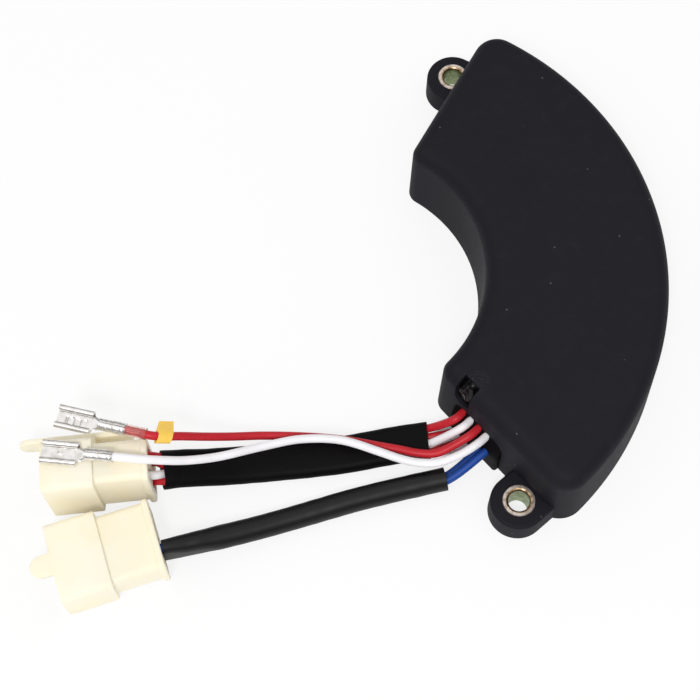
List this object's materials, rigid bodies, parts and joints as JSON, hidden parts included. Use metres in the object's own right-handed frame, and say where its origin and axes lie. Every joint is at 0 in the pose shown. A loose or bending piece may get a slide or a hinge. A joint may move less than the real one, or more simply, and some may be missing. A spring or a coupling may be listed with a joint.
{
  "type": "automatic voltage regulator",
  "caption": "Crescent-shaped potted voltage regulator with bushed bolt ears, coloured leads in black sleeves, cream nylon plugs and spade receptacles.",
  "frame": {"origin": "midway between the two fixing holes, on the mounting face", "axes": "+X towards the outer arc, +Y along the line of fixing holes, +Z away from the mounting face"},
  "size_m": [0.1658, 0.1451, 0.0233],
  "materials": {
    "case_plastic": "satin black moulding with a few specks of dust",
    "bush_metal": "turned steel, yellow passivated",
    "resin": "black potting resin",
    "seal_resin": "glossy black sealing resin",
    "board_green": "solder mask",
    "plate_aluminium": "plain sheet",
    "package_black": "moulded",
    "can_blue": "sleeved can",
    "film_yellow": "dipped",
    "ceramic_white": "cement",
    "resistor_tan": "lacquered",
    "trimmer_blue": "moulded",
    "brass": "plain",
    "grommet_rubber": "matte brownish black",
    "red_insulation": "satin",
    "white_insulation": "satin",
    "blue_insulation": "satin",
    "sleeve_flat_black": "matte",
    "sleeve_round_black": "satin",
    "nylon_cream": "slightly translucent natural nylon",
    "tin": "bright tin plate",
    "clear_vinyl": "clear tube over red insulation",
    "marker_yellow": "satin"
  },
  "bodies": {
    "root": {"case": "case_plastic", "near_bush": "bush_metal", "far_bush": "bush_metal", "potting_resin": "resin", "circuit_board": "board_green", "heat_sink": "plate_aluminium", "power_transistor": "package_black", "bridge_rectifier": "package_black", "main_capacitor": "can_blue", "timing_capacitor": "can_blue", "film_capacitor": "film_yellow", "control_chip": "package_black", "dropping_resistor": "ceramic_white", "small_resistors": "resistor_tan", "diodes": "package_black", "trimmer": "trimmer_blue", "trimmer_screw": "brass", "trimmer_seal": "seal_resin", "lead_grommet": "grommet_rubber", "red_plug_lead": "red_insulation", "white_plug_lead": "white_insulation", "red_return_lead": "red_insulation", "red_sense_lead": "red_insulation", "red_spade_lead": "red_insulation", "white_spade_lead": "white_insulation", "blue_lead_left": "blue_insulation", "blue_lead_right": "blue_insulation", "flat_sleeve": "sleeve_flat_black", "round_sleeve": "sleeve_round_black", "four_wire_plug": "nylon_cream", "two_wire_plug": "nylon_cream", "four_wire_contacts": "brass", "two_wire_contacts": "brass", "red_receptacle": "tin", "white_receptacle": "tin", "clear_tube": "clear_vinyl", "marker_band": "marker_yellow"}
  },
  "joints": []
}
